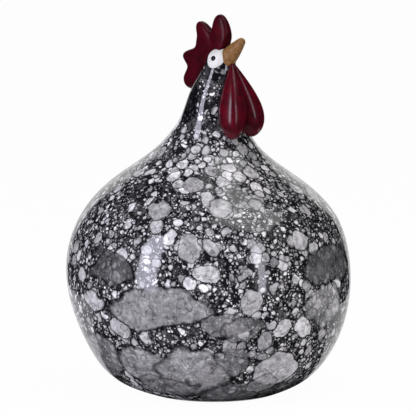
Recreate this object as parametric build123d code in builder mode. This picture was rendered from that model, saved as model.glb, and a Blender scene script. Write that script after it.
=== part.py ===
from build123d import *

import os
from math import cos, hypot, pi, radians, sin

# Stoneware rooster ornament: a hollow thrown pot drawn up into a neck and head, with a comb, beak,
# wattles and eyes bedded on it. Millimetres, +Z up. The bird faces -Y and its right side is -X.
# The origin is on the floor, below the centre of the belly.

# Pot, ring by ring from the foot up: radius, rise above the ring below, and how far forward of the
# belly's axis the ring's centre stands
foot_radius = 46.5
foot_forward = 6.0
heel_radius = 68.9
heel_rise = 10.0
heel_forward = 3.4
flank_radius = 88.3
flank_rise = 25.0
flank_forward = 3.4
belly_radius = 99.4
belly_rise = 60.0
back_radius = 90.1
back_rise = 28.0
back_forward = 0.2
shoulder_radius = 63.9
shoulder_rise = 27.0
shoulder_forward = -1.9
collar_radius = 40.2
collar_rise = 18.0
collar_forward = -0.7
neck_radius = 21.4
neck_rise = 28.0
neck_forward = 4.1
nape_radius = 17.1
nape_rise = 18.0
nape_forward = 7.2
head_radius = 10.4
head_rise = 21.0
head_forward = 12.5
brow_radius = 8.8
brow_rise = 5.0
brow_forward = 13.2
crown_radius = 3.0
crown_rise = 4.6
crown_forward = 13.6
ring_count = 24

# Walls, foot and vent
wall = 6.0
floor_thickness = 8.0
cavity_headroom = 34.0
foot_ring_width = 9.0
foot_recess = 2.0
vent_radius = 5.0

# Beds: how deep each applied piece is pressed into the wall
bed_depth = 1.5
eye_bed_depth = 0.8

# Comb, in the bird's side view: angle in degrees up from straight ahead, and reach from the head's centre
comb_thickness = 12.0
comb_crest_round = 3.6
comb_root_reach = 3.0
comb_section_count = 40
comb_edge = (
    (60.0, 17.0),
    (70.0, 24.0),
    (80.0, 29.5),
    (91.0, 32.7),
    (100.0, 29.0),
    (107.0, 23.0),
    (113.0, 21.5),
    (119.0, 26.0),
    (127.0, 32.4),
    (134.0, 32.6),
    (141.0, 28.5),
    (151.0, 25.8),
    (166.0, 26.4),
    (180.0, 36.2),
    (193.0, 32.6),
    (205.0, 39.2),
    (217.0, 37.6),
    (227.0, 27.0),
)

# Beak, on an axis through the head that points up and ahead
beak_pitch = 44.0
beak_drop = 4.2
beak_reach = 31.0
beak_root_radius = 6.6
beak_middle_reach = 16.0
beak_middle_radius = 5.6
beak_tip_radius = 3.0
beak_tip_turn = 74.0

# Wattles: plump drops side by side in front of the neck, hung from below the beak. A higher drop puts
# the fullest part lower, and a smaller bluntness makes the ends rounder.
wattle_top_forward = 11.0
wattle_top_rise = 1.5
wattle_length = 54.0
wattle_half_width = 9.2
wattle_half_depth = 10.0
wattle_side = 9.2
wattle_lean = 10.0
wattle_drop = 1.8
wattle_bluntness = 0.5
wattle_section_count = 14

# Eyes: an oval white patch on each side of the head with a bead for the pupil
eye_half_length = 6.6
eye_half_height = 7.2
eye_forward = 2.6
eye_lift = 3.4
eye_proud = 0.7
pupil_radius = 1.75
pupil_forward = 2.6
pupil_lift = 3.0
pupil_proud = 1.2

# Places worked out from the sizes above
head_height = (
    heel_rise + flank_rise + belly_rise + back_rise + shoulder_rise
    + collar_rise + neck_rise + nape_rise + head_rise
)
head_width = 2 * head_radius
cavity_top = head_height - cavity_headroom
side_view = Plane(origin=(0, -head_forward, head_height), x_dir=(0, -1, 0), z_dir=(-1, 0, 0))

# Guide curve of the pot: X is the ring's radius, Y its centre's distance forward and Z its height
pot_rings = (
    (foot_radius, foot_forward, 0.0),
    (heel_radius, heel_forward, heel_rise),
    (flank_radius, flank_forward, flank_rise),
    (belly_radius, 0.0, belly_rise),
    (back_radius, back_forward, back_rise),
    (shoulder_radius, shoulder_forward, shoulder_rise),
    (collar_radius, collar_forward, collar_rise),
    (neck_radius, neck_forward, neck_rise),
    (nape_radius, nape_forward, nape_rise),
    (head_radius, head_forward, head_rise),
    (brow_radius, brow_forward, brow_rise),
    (crown_radius, crown_forward, crown_rise),
)
guide_points = []
height = 0.0
for radius, forward, rise in pot_rings:
    height += rise
    guide_points.append((radius, forward, height))
with BuildLine() as pot_guide:
    Spline(*guide_points)


def pot_ring(share, inset):
    """Radius, forward place and height of the ring a share up the guide, moved inwards by inset."""
    place = pot_guide.line @ share
    slope = pot_guide.line % share
    steep = hypot(slope.X, slope.Z)
    return place.X - inset * slope.Z / steep, place.Y, place.Z + inset * slope.X / steep


def pot_form(inset):
    """The pot's solid form, with its surface moved inwards by inset. Rings that close up are left out."""
    with BuildPart() as form:
        for step in range(ring_count + 1):
            radius, forward, height = pot_ring(step / ring_count, inset)
            if radius > 0:
                with BuildSketch(Plane((0, -forward, height))):
                    Circle(radius)
        loft()
    return form.part


def head_direction(angle):
    """The direction in the bird's middle plane at an angle up from straight ahead."""
    return Vector(0, -cos(radians(angle)), sin(radians(angle)))


bed = pot_form(bed_depth)

# Comb: fan-like sections about the head's centre, each thinning from the root to a round crest.
# In its guide curve X is the section's angle and Y its reach.
with BuildLine() as comb_guide:
    Spline(*comb_edge)
with BuildPart() as comb:
    for step in range(comb_section_count + 1):
        place = comb_guide.line @ (step / comb_section_count)
        angle, reach = place.X, place.Y
        fan = Plane(side_view.origin, x_dir=head_direction(angle), z_dir=head_direction(angle + 90))
        with BuildSketch(fan):
            with BuildLine():
                outline = Polyline(
                    (reach - comb_crest_round, comb_crest_round),
                    (comb_root_reach, comb_thickness / 2),
                    (comb_root_reach, -comb_thickness / 2),
                    (reach - comb_crest_round, -comb_crest_round),
                )
                ThreePointArc(outline @ 1, (reach, 0), outline @ 0)
            make_face()
    loft()
    add(bed, mode=Mode.SUBTRACT)
comb.part.label = "comb"

# Beak: a bullet turned about an axis through the head that points up and ahead
beak_axis = Axis(side_view.origin - Vector(0, 0, beak_drop), head_direction(beak_pitch))
beak_view = Plane(beak_axis.position, x_dir=beak_axis.direction, z_dir=(-1, 0, 0))
with BuildPart() as beak:
    with BuildSketch(beak_view):
        with BuildLine():
            tip = CenterArc((beak_reach - beak_tip_radius, 0), beak_tip_radius, 0, beak_tip_turn)
            root = Polyline(tip @ 0, (0, 0), (0, beak_root_radius))
            ThreePointArc(root @ 1, (beak_middle_reach, beak_middle_radius), tip @ 1)
        make_face()
    revolve(axis=beak_axis)
    add(bed, mode=Mode.SUBTRACT)
    add(comb.part, mode=Mode.SUBTRACT)
beak.part.label = "beak"


def wattle_girth(share):
    """Girth at a share of the way down, with 1 at the fullest: a taper that ends in a round drop."""
    return sin(pi * share**wattle_drop) ** wattle_bluntness


def wattle_place(share):
    """The centre of the right wattle at a share of the way down, as it swings out and ahead."""
    swing = sin(pi / 2 * share)
    return Vector(
        -wattle_side * swing,
        -head_forward - wattle_top_forward - wattle_lean * swing,
        head_height + wattle_top_rise - wattle_length * share,
    )


# Wattles: level oval sections, closer together towards the round bottom, split where the two drops touch
with BuildPart() as wattle_right:
    for step in range(wattle_section_count):
        middle = (2 * step + 1) / (2 * wattle_section_count)
        share = sin(pi / 2 * middle)
        girth = wattle_girth(share)
        with BuildSketch(Plane(wattle_place(share))):
            Ellipse(wattle_half_width * girth, wattle_half_depth * girth)
    loft()
    split(bisect_by=Plane.YZ, keep=Keep.BOTTOM)
    add([bed, beak.part], mode=Mode.SUBTRACT)
wattle_right.part.label = "wattle_right"

with BuildPart() as wattle_left:
    mirror(wattle_right.part, about=Plane.YZ)
wattle_left.part.label = "wattle_left"

eye_bed = pot_form(eye_bed_depth)


def head_patch(half_length, half_height, forward, lift, proud):
    """An oval patch on the right of the head, bedded in it and standing proud of it."""
    with BuildPart() as patch:
        with BuildSketch(side_view):
            with Locations((forward, lift)):
                Ellipse(half_length, half_height)
        extrude(amount=head_width)
        add(pot_form(-proud), mode=Mode.INTERSECT)
        add(eye_bed, mode=Mode.SUBTRACT)
    return patch.part


# Eyes: the pupil is a plug of glaze through the white patch
with BuildPart() as pupil_right:
    add(head_patch(pupil_radius, pupil_radius, pupil_forward, pupil_lift, pupil_proud))
pupil_right.part.label = "pupil_right"

with BuildPart() as eye_white_right:
    add(head_patch(eye_half_length, eye_half_height, eye_forward, eye_lift, eye_proud))
    add([comb.part, beak.part, pupil_right.part], mode=Mode.SUBTRACT)
eye_white_right.part.label = "eye_white_right"

with BuildPart() as eye_white_left:
    mirror(eye_white_right.part, about=Plane.YZ)
eye_white_left.part.label = "eye_white_left"

with BuildPart() as pupil_left:
    mirror(pupil_right.part, about=Plane.YZ)
pupil_left.part.label = "pupil_left"

# Cavity: the pot's form drawn in by the wall, cut level at the floor and below the solid head
with BuildPart() as cavity:
    add(pot_form(wall))
    split(bisect_by=Plane.XY.offset(floor_thickness), keep=Keep.TOP)
    split(bisect_by=Plane.XY.offset(cavity_top), keep=Keep.BOTTOM)

# Body shell: the hollow pot with a turned foot ring, a vent and the beds of the applied pieces
applied_pieces = (
    comb, beak, wattle_right, wattle_left, eye_white_right, eye_white_left, pupil_right, pupil_left,
)
with BuildPart() as body_shell:
    add(pot_form(0))
    with BuildSketch(Plane((0, -foot_forward, 0))):
        Circle(foot_radius - foot_ring_width)
    extrude(amount=foot_recess, mode=Mode.SUBTRACT)
    with BuildSketch(Plane((0, -foot_forward, 0))):
        Circle(vent_radius)
    extrude(amount=floor_thickness, mode=Mode.SUBTRACT)
    add([cavity.part, *(piece.part for piece in applied_pieces)], mode=Mode.SUBTRACT)
body_shell.part.label = "body_shell"

os.makedirs("parts", exist_ok=True)
for piece in (body_shell, *applied_pieces):
    export_step(piece.part, f"parts/{piece.part.label}.step")
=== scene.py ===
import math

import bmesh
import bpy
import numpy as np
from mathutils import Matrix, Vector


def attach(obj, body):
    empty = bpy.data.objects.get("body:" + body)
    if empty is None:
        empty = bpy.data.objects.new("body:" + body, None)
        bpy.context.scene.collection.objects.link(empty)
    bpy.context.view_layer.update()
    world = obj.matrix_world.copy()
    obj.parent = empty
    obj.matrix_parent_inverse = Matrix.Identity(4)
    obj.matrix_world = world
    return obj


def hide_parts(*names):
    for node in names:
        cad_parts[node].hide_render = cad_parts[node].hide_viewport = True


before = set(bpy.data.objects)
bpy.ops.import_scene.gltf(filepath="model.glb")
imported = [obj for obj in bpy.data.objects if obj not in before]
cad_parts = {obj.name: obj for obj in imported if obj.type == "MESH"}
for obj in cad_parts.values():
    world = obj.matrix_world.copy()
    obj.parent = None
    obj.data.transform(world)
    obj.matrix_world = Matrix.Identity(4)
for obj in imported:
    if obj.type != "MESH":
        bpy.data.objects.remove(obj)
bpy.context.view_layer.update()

# %% [markdown]
# # A stoneware rooster, from the pot up
#
# The real object is a round pot, thrown hollow and drawn up into a neck and a small head. A comb, a beak,
# two wattles and a pair of eyes are modelled by hand and bedded on it with slip. The CAD frame holds the
# same pieces with their exact sizes. This lesson gives each piece a smooth skin and the finish it has
# when it comes out of the kiln.

MM = 0.001

# %% [markdown]
# ## Colours and nodes
#
# Colours are written as they look on a screen, so they are sRGB. Blender mixes light in linear values, and
# one function turns the first into the second. A second small function adds a node, sets it up and wires it.


# %% Colour and node helpers
def linear(code):
    """Linear red, green, blue and alpha of an sRGB hex code: the sRGB curve undone channel by channel."""
    value = np.array([int(code[k:k + 2], 16) for k in (1, 3, 5)]) / 255
    return (*np.where(value <= 0.04045, value / 12.92, ((value + 0.055) / 1.055) ** 2.4).tolist(), 1.0)


def add_node(tree, kind, inputs=None, **settings):
    """Adds a node, sets its options, and fills each input with a value or a link from another node."""
    made = tree.nodes.new("ShaderNode" + kind)
    for option, value in settings.items():
        setattr(made, option, value)
    for key, value in (inputs or {}).items():
        if isinstance(value, bpy.types.NodeSocket):
            tree.links.new(value, made.inputs[key])
        else:
            made.inputs[key].default_value = value
    return made


def new_material(name):
    """An empty material with an output: returns it, its node tree, its output and the Object coordinates."""
    material = bpy.data.materials.new(name)
    material.use_nodes = True
    tree = material.node_tree
    tree.nodes.clear()
    output = add_node(tree, "OutputMaterial")
    place = add_node(tree, "TexCoord").outputs["Object"]
    return material, tree, output, place


# %% [markdown]
# ## Bubble glaze
#
# The black and white glaze is blown on as froth. Each bubble bursts on the pot and leaves a pale disc with a
# dark rim, and big thin bubbles leave grey veils with dark veins. A Voronoi pattern is the natural model: it
# is made of cells, like froth, and the distance to the nearest cell's middle draws a disc. Several sizes are
# laid over one another, and each cell draws its own lot for radius, tone and whether it is there at all. The
# largest bubbles and the veils are placed one by one on the glaze, unrolled like a label round a jar.


# %% One bubble, and a whole size of them
froth_film = 0.88
rim_softness = 1.6


def lay_bubble(tree, below, distance, radius, rim, tone, film):
    """A pale disc with a dark rim over the tones below, by distance from its middle. Film hides them."""
    wet = add_node(tree, "Math", {0: radius, 1: rim}, operation="ADD")
    core = add_node(tree, "Math", {0: rim, 1: -rim_softness, 2: radius}, operation="MULTIPLY_ADD")
    cover = add_node(tree, "MapRange", {
        "Value": distance, "From Min": wet.outputs[0], "From Max": radius, "To Max": film,
    }, interpolation_type="SMOOTHSTEP")
    pale = add_node(tree, "MapRange", {
        "Value": distance, "From Min": radius, "From Max": core.outputs[0], "To Max": tone,
    }, interpolation_type="SMOOTHSTEP")
    return add_node(tree, "Mix", {0: cover.outputs[0], 2: below, 3: pale.outputs[0]}).outputs[0]


def bubble_layer(tree, place, below, cell, smallest, largest, missing, dull, bright, rim):
    """Bubbles of one size. Cell is their spacing and rim the dark edge's width in mm, radii are shares."""
    scale = 1 / (cell * MM)
    near = add_node(tree, "TexVoronoi", {"Vector": place, "Scale": scale})
    edge = add_node(tree, "TexVoronoi", {"Vector": place, "Scale": scale}, feature="DISTANCE_TO_EDGE")
    lot = add_node(tree, "SeparateColor", {"Color": near.outputs["Color"]})
    radius = add_node(tree, "MapRange", {"Value": lot.outputs[0], "To Min": smallest, "To Max": largest})
    tone = add_node(tree, "MapRange", {"Value": lot.outputs[2], "To Min": dull, "To Max": bright})
    froth = add_node(tree, "MapRange", {
        "Value": edge.outputs["Distance"], "From Max": rim / cell, "To Max": tone.outputs[0],
    }, interpolation_type="SMOOTHSTEP")
    there = add_node(tree, "Math", {0: lot.outputs[1], 1: missing}, operation="GREATER_THAN")
    film = add_node(tree, "Math", {0: there.outputs[0], 1: froth_film}, operation="MULTIPLY")
    return lay_bubble(
        tree, below, near.outputs["Distance"], radius.outputs[0], rim / cell,
        froth.outputs[0], film.outputs[0],
    )


# %% Where the froth lies: places that wander, so no bubble is a true circle
glaze, tree, output, place = new_material("bubble_glaze_on_stoneware")
froth_place = place
for wander, swing in ((14.0, 7.0), (2.4, 1.1)):
    sway = add_node(tree, "TexNoise", {"Vector": place, "Scale": 1 / (wander * MM), "Detail": 2.0})
    shift = add_node(tree, "VectorMath", {0: sway.outputs["Color"], 1: (0.5, 0.5, 0.5)}, operation="SUBTRACT")
    froth_place = add_node(tree, "VectorMath", {
        0: shift.outputs[0], 1: (swing * MM, swing * MM, swing * MM), 2: froth_place,
    }, operation="MULTIPLY_ADD").outputs[0]

# %% The glaze unrolled: distance round the belly and height. It comes round twice, front and back alike
belly_radius = 95.0
drift_size, drift_swing = 32.0, 22.0
facing = math.radians(135)
sway = add_node(tree, "TexNoise", {"Vector": place, "Scale": 1 / (drift_size * MM), "Detail": 5.0})
shift = add_node(tree, "VectorMath", {0: sway.outputs["Color"], 1: (0.5, 0.5, 0.5)}, operation="SUBTRACT")
adrift = add_node(tree, "VectorMath", {
    0: shift.outputs[0], 1: (drift_swing * MM, drift_swing * MM, drift_swing * MM), 2: froth_place,
}, operation="MULTIPLY_ADD")
faced = add_node(tree, "Mapping", {"Vector": adrift.outputs[0], "Rotation": (0, 0, facing)})
axes = add_node(tree, "SeparateXYZ", {0: faced.outputs[0]})
bearing = add_node(tree, "Math", {0: axes.outputs["Y"], 1: axes.outputs["X"]}, operation="ARCTAN2")
half = add_node(tree, "Math", {0: bearing.outputs[0], 1: math.pi / 2, 2: -math.pi / 2}, operation="WRAP")
round_belly = add_node(tree, "Math", {0: half.outputs[0], 1: belly_radius * MM}, operation="MULTIPLY")
unrolled = add_node(tree, "CombineXYZ", {"X": round_belly.outputs[0], "Y": axes.outputs["Z"]}).outputs[0]


def mark_distance(turn, height, half_width, half_height):
    """Distance from an oval's middle on the unrolled glaze, 1 at its edge. Turn in degrees, sizes in mm."""
    oval = add_node(tree, "Mapping", {
        "Vector": unrolled,
        "Location": (math.radians(turn) * belly_radius * MM, height * MM, 0),
        "Scale": (half_width * MM, half_height * MM, 1),
    }, vector_type="TEXTURE")
    return add_node(tree, "VectorMath", {0: oval.outputs[0]}, operation="LENGTH").outputs["Value"]


# %% Drifts: thin and thick froth, so the pot looks hand-blown (turn, height, half sizes, share that lacks)
patchy = add_node(tree, "TexNoise", {"Vector": place, "Scale": 1 / (40 * MM), "Detail": 2.0})
lack = add_node(tree, "MapRange", {
    "Value": patchy.outputs[0], "From Min": 0.3, "From Max": 0.7, "To Min": -0.15, "To Max": 0.25,
}).outputs[0]
for turn, height, half_width, half_height, amount in (
    (-62, 128, 60, 28, 0.30), (70, 128, 45, 28, 0.20), (10, 162, 120, 32, -0.50), (-40, 97, 60, 22, 0.25),
    (30, 100, 50, 25, 0.15), (0, 224, 190, 48, 0.60), (-60, 84, 40, 34, 0.20), (38, 56, 36, 22, -0.25),
    (2, 118, 40, 18, -0.20),
):
    spread = add_node(tree, "MapRange", {
        "Value": mark_distance(turn, height, half_width, half_height),
        "From Min": 1.0, "From Max": 0.0, "To Max": amount,
    }, interpolation_type="SMOOTHSTEP")
    lack = add_node(tree, "Math", {0: lack, 1: spread.outputs[0]}, operation="ADD").outputs[0]

# %% The smoky ground, and the froth on it from the finest to the coarsest. Heed is how far it follows drifts
smoke = add_node(tree, "TexNoise", {
    "Vector": froth_place, "Scale": 1 / (9 * MM), "Detail": 6.0, "Roughness": 0.7,
})
tones = add_node(tree, "MapRange", {
    "Value": smoke.outputs[0], "From Min": 0.48, "From Max": 0.75, "To Min": 0.008, "To Max": 0.20,
}).outputs[0]
for cell, smallest, largest, missing, heed, dull, bright, rim in (
    (2.0, 0.30, 0.72, 0.18, 0.4, 0.20, 0.88, 0.35),
    (3.4, 0.25, 0.72, 0.36, 0.7, 0.22, 0.98, 0.50),
    (6.0, 0.25, 0.70, 0.48, 1.0, 0.28, 0.95, 0.60),
    (9.5, 0.25, 0.66, 0.52, 1.0, 0.34, 0.80, 0.65),
    (15.0, 0.25, 0.58, 0.72, 1.0, 0.30, 0.60, 0.70),
):
    absent = add_node(tree, "Math", {0: lack, 1: heed, 2: missing}, operation="MULTIPLY_ADD").outputs[0]
    tones = bubble_layer(tree, froth_place, tones, cell, smallest, largest, absent, dull, bright, rim)

# %% The biggest bubbles, grey veils and black runs, one by one (turn, height, half sizes, tone, film)
# A thin film is a veil, and its rim is broad and smoky
veil_film, veil_rim, bubble_rim = 0.86, 0.11, 0.05
for turn, height, half_width, half_height, tone, film in (
    (60, 98, 31, 14, 0.10, 0.80), (-44, 98, 18, 9, 0.09, 0.80), (50, 6, 60, 8, 0.05, 0.80),
    (-60, 32, 30, 16, 0.20, 0.70), (12, 10, 32, 9, 0.19, 0.70), (55, 70, 20, 13, 0.46, 0.50),
    (-21, 74, 38, 14, 0.29, 0.85), (6, 66, 16, 8, 0.25, 0.75), (14, 62, 15, 9, 0.20, 0.60),
    (-32, 31, 24, 15, 0.32, 0.75), (-7, 26, 28, 19, 0.33, 0.75), (-22, 13, 30, 9, 0.20, 0.60),
    (11, 37, 13, 11, 0.24, 0.60), (34, 26, 22, 13, 0.56, 0.90), (28, 15, 15, 9, 0.30, 0.60),
    (17, 81, 9, 9, 0.40, 0.92), (31, 58, 7, 8, 0.74, 0.95), (42, 58, 8, 8, 0.76, 0.95),
    (-27, 141, 11, 6, 0.40, 0.85), (7, 141, 11, 5, 0.42, 0.80), (0, 102, 8, 7, 0.60, 0.95),
    (-52, 73, 12, 9, 0.44, 0.85), (-39, 59, 11, 7, 0.40, 0.85), (-8, 117, 7, 8, 0.42, 0.90),
    (-52, 211, 50, 20, 0.00, 0.92), (14, 229, 80, 6, 0.00, 0.65),
):
    rim = bubble_rim if film > veil_film else veil_rim
    distance = mark_distance(turn, height, half_width, half_height)
    tones = lay_bubble(tree, tones, distance, 1.0, rim, tone, film)

# %% Mottling, dark veins and broad shades, and a wet gloss over it all that ripples like a dipped pot
mottle = add_node(tree, "TexNoise", {
    "Vector": froth_place, "Scale": 1 / (4 * MM), "Detail": 6.0, "Roughness": 0.8,
})
grain = add_node(tree, "MapRange", {
    "Value": mottle.outputs[0], "From Min": 0.3, "From Max": 0.7, "To Min": 0.35, "To Max": 1.8,
})
tones = add_node(tree, "Math", {0: tones, 1: grain.outputs[0]}, operation="MULTIPLY").outputs[0]
crease = add_node(tree, "TexNoise", {
    "Vector": froth_place, "Scale": 1 / (17 * MM), "Detail": 3.0, "Roughness": 0.55,
})
level = add_node(tree, "Math", {0: crease.outputs[0], 1: 0.5}, operation="SUBTRACT")
away = add_node(tree, "Math", {0: level.outputs[0]}, operation="ABSOLUTE")
vein = add_node(tree, "MapRange", {
    "Value": away.outputs[0], "From Min": 0.0, "From Max": 0.022, "To Min": 0.45, "To Max": 1.0,
}, interpolation_type="SMOOTHSTEP")
tones = add_node(tree, "Math", {0: tones, 1: vein.outputs[0]}, operation="MULTIPLY").outputs[0]
haze = add_node(tree, "TexNoise", {"Vector": froth_place, "Scale": 1 / (26 * MM), "Detail": 4.0})
shade = add_node(tree, "MapRange", {
    "Value": haze.outputs[0], "From Min": 0.35, "From Max": 0.65, "To Min": 0.84, "To Max": 1.18,
})
tones = add_node(tree, "Math", {0: tones, 1: shade.outputs[0]}, operation="MULTIPLY").outputs[0]
colour = add_node(tree, "Mix", {0: tones, 6: linear("#0c0b0f"), 7: linear("#f4f1f0")}, data_type="RGBA")
wave = add_node(tree, "TexNoise", {"Vector": place, "Scale": 1 / (14 * MM), "Detail": 2.0})
ripple = add_node(tree, "Bump", {"Height": wave.outputs[0], "Strength": 0.3, "Distance": 1.0 * MM})
gloss = add_node(tree, "BsdfPrincipled", {"Normal": ripple.outputs[0], "IOR": 1.5})
tree.links.new(gloss.outputs[0], output.inputs["Surface"])

# %% [markdown]
# The foot is wiped clean of glaze before firing, or the pot would stick to the kiln shelf. So the shader is
# matt, bare clay on the underside of the foot and glaze everywhere else.

# %% Bare clay under the foot
foot_middle, foot_edge, foot_top = 6.0, 46.55, 2.5
under = add_node(tree, "Mapping", {"Vector": place, "Location": (0, foot_middle * MM, 0), "Scale": (1, 1, 0)})
across = add_node(tree, "VectorMath", {0: under.outputs[0]}, operation="LENGTH")
within = add_node(tree, "Math", {0: across.outputs["Value"], 1: foot_edge * MM}, operation="LESS_THAN")
altitude = add_node(tree, "SeparateXYZ", {0: place}).outputs["Z"]
beneath = add_node(tree, "Math", {0: altitude, 1: foot_top * MM}, operation="LESS_THAN")
bare = add_node(tree, "Math", {0: within.outputs[0], 1: beneath.outputs[0]}, operation="MULTIPLY").outputs[0]
clad = add_node(tree, "Mix", {0: bare, 6: colour.outputs[2], 7: linear("#b8a890")}, data_type="RGBA")
sheen = add_node(tree, "MapRange", {"Value": bare, "To Min": 0.08, "To Max": 0.85})
tree.links.new(clad.outputs[2], gloss.inputs["Base Color"])
tree.links.new(sheen.outputs[0], gloss.inputs["Roughness"])
print(glaze.name, "has", len(tree.nodes), "nodes")

# %% [markdown]
# ## Painted slips
#
# The wattles are a deep red slip with a satin sheen, the comb a duller one, the beak an ochre one with darker
# flecks, and the eyes are white with a bead of black glaze. Slip is brushed on, so its tone drifts over a few
# millimetres, and a fine tooth breaks up the light on it.


# %% Slips
def slip(name, shade, tint, patch, roughness, shine=0.36):
    """A brushed slip that drifts between two colours over patches of a size in mm. Shine is its gloss."""
    material, tree, output, place = new_material(name)
    drift = add_node(tree, "TexNoise", {
        "Vector": place, "Scale": 1 / (patch * MM), "Detail": 4.0, "Roughness": 0.6,
    })
    even = add_node(tree, "MapRange", {"Value": drift.outputs[0], "From Min": 0.35, "From Max": 0.65})
    colour = add_node(tree, "Mix", {0: even.outputs[0], 6: linear(shade), 7: linear(tint)}, data_type="RGBA")
    tooth = add_node(tree, "TexNoise", {"Vector": place, "Scale": 1 / (1.6 * MM), "Detail": 2.0})
    relief = add_node(tree, "Bump", {"Height": tooth.outputs[0], "Strength": 0.08, "Distance": 0.3 * MM})
    finish = add_node(tree, "BsdfPrincipled", {
        "Base Color": colour.outputs[2], "Normal": relief.outputs[0],
        "Roughness": roughness, "Specular IOR Level": shine,
    })
    tree.links.new(finish.outputs[0], output.inputs["Surface"])
    return material


red_slip = slip("red_slip_on_clay", "#36060f", "#560415", 7.0, 0.22)
ochre_slip = slip("ochre_slip_on_clay", "#6e4a20", "#90683a", 2.5, 0.5)
white_slip = slip("white_slip_on_clay", "#cfcec9", "#dad9d4", 3.0, 0.45)
black_glaze = slip("black_glaze_bead", "#060608", "#0a0a0c", 2.0, 0.06, 0.15)
finishes = {
    "bubble_glaze": glaze, "red_slip": red_slip, "ochre_slip": ochre_slip,
    "white_slip": white_slip, "black_glaze": black_glaze,
}
print("finishes:", ", ".join(material.name for material in finishes.values()))

# %% [markdown]
# ## One curve for every outline
#
# A potter's profile is fair: it has no corners between the places where it was measured. A natural cubic
# spline gives that. Its bending at each knot comes from one small linear system, and between two knots it is
# a plain cubic. The pot's rings and the comb's edge are both drawn with it.


# %% A smooth curve through knots
def smooth_curve(knots, count):
    """Natural cubic spline through the knots, spaced by their straight distances, at count even places."""
    knots = np.asarray(knots, float)
    span = np.linalg.norm(np.diff(knots, axis=0), axis=1)
    along = np.concatenate([[0.0], np.cumsum(span)])
    inner = np.arange(1, len(knots) - 1)
    system = np.eye(len(knots))
    system[inner, inner - 1] = span[:-1]
    system[inner, inner] = 2 * (span[:-1] + span[1:])
    system[inner, inner + 1] = span[1:]
    turn = np.zeros_like(knots)
    turn[inner] = 6 * np.diff(np.diff(knots, axis=0) / span[:, None], axis=0)
    bend = np.linalg.solve(system, turn)
    place = np.linspace(0, along[-1], count)
    k = np.clip(np.searchsorted(along, place, side="right") - 1, 0, len(span) - 1)
    before = (place - along[k])[:, None]
    after = (along[k + 1] - place)[:, None]
    width = span[k][:, None]
    return (
        (bend[k] * after**3 + bend[k + 1] * before**3) / (6 * width)
        + (knots[k] / width - bend[k] * width / 6) * after
        + (knots[k + 1] / width - bend[k + 1] * width / 6) * before
    )


# %% A closed skin over a grid of points
def skin(name, grid, node, slot, sharp_from=50):
    """A mesh over rows x columns of points in mm. Columns join up in a ring, and the end rows are points."""
    rows, columns, _ = grid.shape
    index = np.arange(rows * columns).reshape(rows, columns)
    beside = np.roll(index, -1, axis=1)
    faces = np.stack([index[:-1], beside[:-1], beside[1:], index[1:]], axis=-1).reshape(-1, 4)
    mesh = bpy.data.meshes.new(name)
    mesh.from_pydata((grid.reshape(-1, 3) * MM).tolist(), [], faces.tolist())
    work = bmesh.new()
    work.from_mesh(mesh)
    bmesh.ops.remove_doubles(work, verts=work.verts, dist=0.002 * MM)
    bmesh.ops.recalc_face_normals(work, faces=work.faces)
    work.to_mesh(mesh)
    work.free()
    mesh.shade_smooth()
    mesh.set_sharp_from_angle(angle=math.radians(sharp_from))
    piece = bpy.data.objects.new(name, mesh)
    bpy.context.scene.collection.objects.link(piece)
    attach(piece, "root")
    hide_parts(node)
    mesh.materials.append(finishes[slot])
    print(f"{name}: {len(mesh.vertices)} points, {len(mesh.polygons)} faces")
    return piece


# %% [markdown]
# ## The pot
#
# A thrown pot is a stack of rings. Here the centres of the rings wander a little, because the head leans
# forward over the belly. One profile runs from the middle of the hollow inside, down the inner wall, out
# through the vent in the floor, round the foot ring and up the outside to the crown, so the skin is closed.

# %% Rings of the pot: radius, distance forward of the belly's axis, height
pot_knots = (
    (46.5, 6.0, 0.0),
    (68.9, 3.4, 10.0),
    (88.3, 3.4, 35.0),
    (99.4, 0.0, 95.0),
    (90.1, 0.2, 123.0),
    (63.9, -1.9, 150.0),
    (40.2, -0.7, 168.0),
    (21.4, 4.1, 196.0),
    (17.1, 7.2, 214.0),
    (10.4, 12.5, 235.0),
    (8.8, 13.2, 240.0),
    (3.0, 13.6, 244.6),
)
wall = 6.0
floor_thickness = 8.0
cavity_top = 201.0
foot_ring_width = 9.0
foot_recess = 2.0
vent_radius = 5.0
hair = 0.05

rings = smooth_curve(pot_knots, 260) - (hair, 0, 0)
slope = np.gradient(rings, axis=0)
steep = np.hypot(slope[:, 0], slope[:, 2])
inside = rings + wall * np.stack([-slope[:, 2] / steep, 0 * steep, slope[:, 0] / steep], axis=1)
inside = inside[(inside[:, 2] > floor_thickness) & (inside[:, 2] < cavity_top)][::-3]
foot_radius, foot_forward, _ = pot_knots[0]
profile = np.concatenate([
    [(0.0, inside[0, 1], inside[0, 2])],
    inside,
    [
        (inside[-1, 0], foot_forward, floor_thickness),
        (vent_radius, foot_forward, floor_thickness),
        (vent_radius, foot_forward, foot_recess),
        (foot_radius - foot_ring_width, foot_forward, foot_recess),
        (foot_radius - foot_ring_width, foot_forward, 0.0),
    ],
    rings,
    [(0.0, rings[-1, 1], rings[-1, 2])],
])

# %% Skin of the pot
around = np.linspace(0, 2 * np.pi, 224, endpoint=False)
ring_radius, ring_forward, ring_height = (profile[:, [k]] for k in range(3))
pot_grid = np.stack(np.broadcast_arrays(
    ring_radius * np.cos(around),
    ring_radius * np.sin(around) - ring_forward,
    ring_height,
), axis=-1)
skin("glazed_pot", pot_grid, "body_shell", "bubble_glaze")

# %% [markdown]
# ## The comb
#
# The comb is a slab of clay with four lobes, pressed over the crown and down the nape. Seen from the side it
# is a fan about the middle of the head, so its edge is given as an angle and a reach. Each section through
# the fan is a rounded slab that gets thinner towards the edge, and the fan shrinks to nothing at both ends.

# %% Middle of the head and the fan's directions
head_forward, head_height = 12.5, 235.0


def head_point(ahead, lift, side):
    """Points given from the middle of the head: ahead, up, and to the bird's left."""
    return np.stack(np.broadcast_arrays(side, -head_forward - ahead, head_height + lift), axis=-1)


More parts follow.
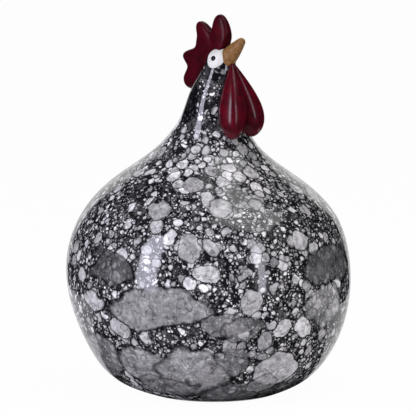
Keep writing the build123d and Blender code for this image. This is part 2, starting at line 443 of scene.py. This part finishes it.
# %% Edge of the comb: angle up from straight ahead in degrees, reach from the middle of the head
comb_edge = (
    (60.0, 17.0), (70.0, 24.0), (80.0, 29.5), (91.0, 32.7), (100.0, 29.0), (107.0, 23.0),
    (113.0, 21.5), (119.0, 26.0), (127.0, 32.4), (134.0, 32.6), (141.0, 28.5), (151.0, 25.8),
    (166.0, 26.4), (180.0, 36.2), (193.0, 32.6), (205.0, 39.2), (217.0, 37.6), (227.0, 27.0),
)
comb_half_thickness = 5.9
comb_thinning = 0.36
comb_root_reach = 3.0
comb_roundness = 0.62
comb_end = 0.05

# %% Skin of the comb
edge = smooth_curve(comb_edge, 300) - (0, hair)
share = np.linspace(0, 1, len(edge))[:, None]
from_end = np.clip(np.minimum(share, 1 - share) / comb_end, 0, 1)
closing = np.sqrt(1 - (1 - from_end) ** 2)
slab_turn = np.linspace(0, 2 * np.pi, 72, endpoint=False)
up_slab = 0.5 + 0.5 * np.sign(np.cos(slab_turn)) * np.abs(np.cos(slab_turn)) ** comb_roundness
across_slab = np.sign(np.sin(slab_turn)) * np.abs(np.sin(slab_turn)) ** comb_roundness
angle = np.radians(edge[:, [0]])
reach = comb_root_reach + (edge[:, [1]] - comb_root_reach) * closing * up_slab
comb_grid = head_point(
    reach * np.cos(angle),
    reach * np.sin(angle),
    comb_half_thickness * closing * (1 - comb_thinning * up_slab) * across_slab,
)
comb = skin("comb_of_clay", comb_grid, "comb", "red_slip")
comb.data.materials[0] = slip("dull_red_slip_on_clay", "#2e050c", "#460411", 7.0, 0.32, 0.12)

# %% [markdown]
# ## The beak
#
# The beak is a stubby bullet that points up and ahead. Turning a profile about its axis makes it: a slightly
# bulging flank that runs into a ball at the tip.

# %% Skin of the beak
beak_pitch = math.radians(44.0)
beak_drop = 4.2
beak_reach = 31.0
beak_root_radius = 6.6
beak_middle_reach, beak_middle_radius = 16.0, 5.6
beak_tip_radius = 3.0
beak_tip_turn = math.radians(74.0)
tip_middle = beak_reach - beak_tip_radius
tip_along = tip_middle + beak_tip_radius * math.cos(beak_tip_turn)
tip_girth = beak_tip_radius * math.sin(beak_tip_turn)
flank = np.polyfit((0.0, beak_middle_reach, tip_along), (beak_root_radius, beak_middle_radius, tip_girth), 2)
flank_along = np.linspace(0, tip_along, 60)
tip_turn = np.linspace(beak_tip_turn, 0, 24)
along = np.concatenate([[0], flank_along, tip_middle + beak_tip_radius * np.cos(tip_turn[1:])])[:, None]
girth = np.concatenate([[0], np.polyval(flank, flank_along), beak_tip_radius * np.sin(tip_turn[1:])])[:, None]
spin = np.linspace(0, 2 * np.pi, 96, endpoint=False)
beak_grid = head_point(
    along * math.cos(beak_pitch) - girth * np.sin(spin) * math.sin(beak_pitch),
    along * math.sin(beak_pitch) + girth * np.sin(spin) * math.cos(beak_pitch) - beak_drop,
    girth * np.cos(spin),
)
skin("beak_of_clay", beak_grid, "beak", "ochre_slip")

# %% [markdown]
# ## The wattles
#
# Two plump drops hang side by side below the beak and lean on the neck. A level section is an oval whose
# girth follows a power of a sine, so the drop tapers to the top and is round at the bottom. Its middle swings
# out and ahead on the way down, and the sections stop at the plane where the two drops touch. A soft ridge
# runs down the outer front of each drop, where a thumb drew the clay up.

# %% Skins of the wattles
wattle_top_forward, wattle_top_rise, wattle_length = 11.0, 1.5, 54.0
wattle_half_width, wattle_half_depth = 9.2, 10.0
wattle_side, wattle_lean = 9.2, 10.0
wattle_drop, wattle_bluntness = 1.8, 0.5
wattle_ridge, wattle_ridge_place, wattle_ridge_turn = 0.1, np.radians(135), 0.38

down = np.sin(np.linspace(0, np.pi / 2, 120))[:, None]
girth = np.sin(np.pi * down.clip(0, 1) ** wattle_drop).clip(0) ** wattle_bluntness
swing = np.sin(np.pi / 2 * down)
ridge = 1 + wattle_ridge * np.exp(-(((spin - wattle_ridge_place) / wattle_ridge_turn) ** 2))
side = -wattle_side * swing + wattle_half_width * girth * ridge * np.cos(spin)
ahead = wattle_top_forward + wattle_lean * swing + wattle_half_depth * girth * ridge * np.sin(spin)
drop = head_point(ahead, wattle_top_rise - wattle_length * down, np.minimum(side, 0))
skin("wattle_of_the_right", drop, "wattle_right", "red_slip")
skin("wattle_of_the_left", drop * (-1, 1, 1), "wattle_left", "red_slip")

# %% [markdown]
# ## The eyes
#
# Each eye is an oval of white slip laid on the side of the head, with a bead of black glaze for the pupil.
# Both are lenses: a grid of circles from the middle to the rim on the outside and back on the inside. A point
# of the side view is carried across to the head's surface, where the ring at its height gives the distance.


# %% Patches on the head
def head_lens(middle_ahead, middle_lift, half_length, half_height, rise, sink):
    """An oval lens on the right of the head. Rise is its height over the head from the middle to the rim."""
    rim = np.concatenate([np.linspace(0, 1, len(rise)), np.linspace(1, 0, 12)])[:, None]
    over = np.concatenate([rise, np.full(12, -sink)])[:, None]
    ahead = middle_ahead + half_length * rim * np.cos(spin)
    lift = middle_lift + half_height * rim * np.sin(spin)
    ring_radius = np.interp(head_height + lift, rings[:, 2], rings[:, 0])
    ring_ahead = np.interp(head_height + lift, rings[:, 2], rings[:, 1]) - head_forward
    outward = np.sqrt(((ring_radius + over) ** 2 - (ahead - ring_ahead) ** 2).clip(0.01))
    return head_point(ahead, lift, -outward)


# %% Skins of the eyes
eye_ahead, eye_lift, eye_half_length, eye_half_height = 2.6, 3.4, 6.6, 7.2
pupil_lift, pupil_radius = 3.0, 1.75
eye_rise, eye_sink, pupil_rise = 0.7, 0.8, 0.5
to_rim = np.linspace(0, 1, 30)
white_rise = eye_rise * (1 - to_rim**6)
bead_rise = eye_rise + pupil_rise * np.sqrt(1 - to_rim**2)
white = head_lens(eye_ahead, eye_lift, eye_half_length, eye_half_height, white_rise, eye_sink)
bead = head_lens(eye_ahead, pupil_lift, pupil_radius, pupil_radius, bead_rise, eye_sink)
for hand, mirror in (("right", (1, 1, 1)), ("left", (-1, 1, 1))):
    skin(f"eye_white_of_the_{hand}", white * mirror, f"eye_white_{hand}", "white_slip")
    skin(f"pupil_of_the_{hand}", bead * mirror, f"pupil_{hand}", "black_glaze")

# %% [markdown]
# ## Floor, light and camera
#
# A potter's studio shot: a white floor and surround, a tall soft box on the left of the camera, a narrow one
# on the right and a soft light overhead. A dark half-dome on the camera's side keeps the gloss black. Its
# cloth on the floor leaves the sides of the pot free, so the low flanks mirror white and fade into the
# surround.

# %% Floor and surround
glow_in_mirrors, glow_in_view = 0.5, 0.97
paper, tree, output, _ = new_material("white_paper_sweep")
matt = add_node(tree, "BsdfDiffuse", {"Color": linear("#ffffff")})
glow = add_node(tree, "Emission", {"Color": (1, 1, 1, 1), "Strength": 1.0})
path = add_node(tree, "LightPath")
through = add_node(tree, "Math", {
    0: path.outputs["Is Glossy Ray"], 1: path.outputs["Is Transmission Ray"],
}, operation="MAXIMUM")
mirrored = add_node(tree, "Math", {0: through.outputs[0], 1: glow_in_mirrors}, operation="MULTIPLY")
direct = add_node(tree, "Math", {0: path.outputs["Is Camera Ray"], 1: glow_in_view}, operation="MULTIPLY")
seen = add_node(tree, "Math", {0: direct.outputs[0], 1: mirrored.outputs[0]}, operation="MAXIMUM")
sweep = add_node(tree, "MixShader", {0: seen.outputs[0], 1: matt.outputs[0], 2: glow.outputs[0]})
tree.links.new(sweep.outputs[0], output.inputs["Surface"])
floor_mesh = bpy.data.meshes.new("studio_floor")
floor_mesh.from_pydata([(-20, -20, 0), (20, -20, 0), (20, 20, 0), (-20, 20, 0)], [], [(0, 1, 2, 3)])
floor_mesh.materials.append(paper)
floor = bpy.data.objects.new("studio_floor", floor_mesh)
bpy.context.scene.collection.objects.link(floor)

world = bpy.data.worlds.new("studio")
world.use_nodes = True
bpy.context.scene.world = world
tree = world.node_tree
tree.nodes.clear()
path = add_node(tree, "LightPath")
plain = add_node(tree, "Math", {
    0: path.outputs["Is Camera Ray"], 1: path.outputs["Is Glossy Ray"],
}, operation="MAXIMUM")
shown = add_node(tree, "Math", {
    0: plain.outputs[0], 1: path.outputs["Is Transmission Ray"],
}, operation="MAXIMUM")
fill = add_node(tree, "Background", {"Color": (1, 1, 1, 1), "Strength": 0.30})
backdrop = add_node(tree, "Background", {"Color": (1, 1, 1, 1), "Strength": 1.0})
sky = add_node(tree, "MixShader", {0: shown.outputs[0], 1: fill.outputs[0], 2: backdrop.outputs[0]})
add_node(tree, "OutputWorld", {"Surface": sky.outputs[0]})
print("floor and surround are white, with a fill light of", fill.inputs["Strength"].default_value)

# %% Camera: a long lens, level with the belly
view_azimuth, view_elevation = math.radians(-45.0), math.radians(10.0)
camera_distance = 5.0
picture_pixels, pixel_size = 416, 0.703
aim_height = 128.8
aim = Vector((0, 0, aim_height * MM))
toward = Vector((
    math.sin(view_azimuth) * math.cos(view_elevation),
    -math.cos(view_azimuth) * math.cos(view_elevation),
    math.sin(view_elevation),
))
lens = bpy.data.cameras.new("long_lens")
lens.lens = lens.sensor_width * camera_distance / (picture_pixels * pixel_size * MM)
lens.clip_end = 100
camera = bpy.data.objects.new("camera", lens)
camera.location = aim + toward * camera_distance
camera.rotation_euler = toward.to_track_quat("Z", "Y").to_euler()
bpy.context.scene.collection.objects.link(camera)
bpy.context.scene.camera = camera
print("camera at", [round(value, 3) for value in camera.location])


# %% Lights: boxes of soft light, placed by their angle from the camera
def soft_box(name, turn, elevation, width, height, brightness, colour, away=1.2):
    """A flat light that faces the object. Its power is brightness x pi x area."""
    light = bpy.data.lights.new(name, "AREA")
    light.shape = "RECTANGLE"
    light.size, light.size_y = width, height
    light.energy = brightness * math.pi * width * height
    light.color = linear(colour)[:3]
    box = bpy.data.objects.new(name, light)
    azimuth, elevation = view_azimuth + math.radians(turn), math.radians(elevation)
    out = Vector((
        math.sin(azimuth) * math.cos(elevation),
        -math.cos(azimuth) * math.cos(elevation),
        math.sin(elevation),
    ))
    box.location = aim + out * away
    box.rotation_euler = out.to_track_quat("Z", "Y").to_euler()
    bpy.context.scene.collection.objects.link(box)
    print(f"{name}: {light.energy:.1f} W")


soft_box("tall_box_left", -49.0, 17.0, 0.36, 1.3, 9.5, "#ececff")
soft_box("narrow_box_right", 42.5, 15.0, 0.16, 1.3, 7.5, "#f2f2ff")
soft_box("overhead_box", 80.0, 66.0, 0.75, 0.75, 2.5, "#ffffff")

# %% The dark half-dome and its cloth on the floor. Only reflections see them
dome_radius, dome_reach = 3.0, 152
cloth_radii = [0.044, 0.30, 0.40]
cloth_reaches = [95, 95, 150]
cloth_lift = 1 * MM
dome_lift = np.radians(np.linspace(0, 89, 24))
reaches = np.radians(cloth_reaches + [dome_reach] * len(dome_lift))[:, None]
dome_turn = view_azimuth + reaches * np.linspace(-1, 1, 77)
dome_out = np.concatenate([cloth_radii, dome_radius * np.cos(dome_lift)])[:, None]
dome_up = np.concatenate([[0, 0, 0], dome_radius * np.sin(dome_lift)])[:, None] + cloth_lift
dome_grid = np.stack(np.broadcast_arrays(
    dome_out * np.sin(dome_turn), -dome_out * np.cos(dome_turn), dome_up,
), axis=-1)
index = np.arange(dome_grid.size // 3).reshape(dome_grid.shape[:2])
dome_faces = np.stack([index[:-1, :-1], index[:-1, 1:], index[1:, 1:], index[1:, :-1]], axis=-1)
card_mesh = bpy.data.meshes.new("dark_dome")
card_mesh.from_pydata(dome_grid.reshape(-1, 3).tolist(), [], dome_faces.reshape(-1, 4).tolist())
velvet, tree, output, _ = new_material("black_velvet")
nap = add_node(tree, "BsdfDiffuse", {"Color": linear("#1a1a1a")})
tree.links.new(nap.outputs[0], output.inputs["Surface"])
card_mesh.materials.append(velvet)
card = bpy.data.objects.new("dark_dome", card_mesh)
bpy.context.scene.collection.objects.link(card)
card.visible_camera = card.visible_diffuse = card.visible_shadow = False

# %% Finish
bpy.context.scene.view_settings.view_transform = "Standard"
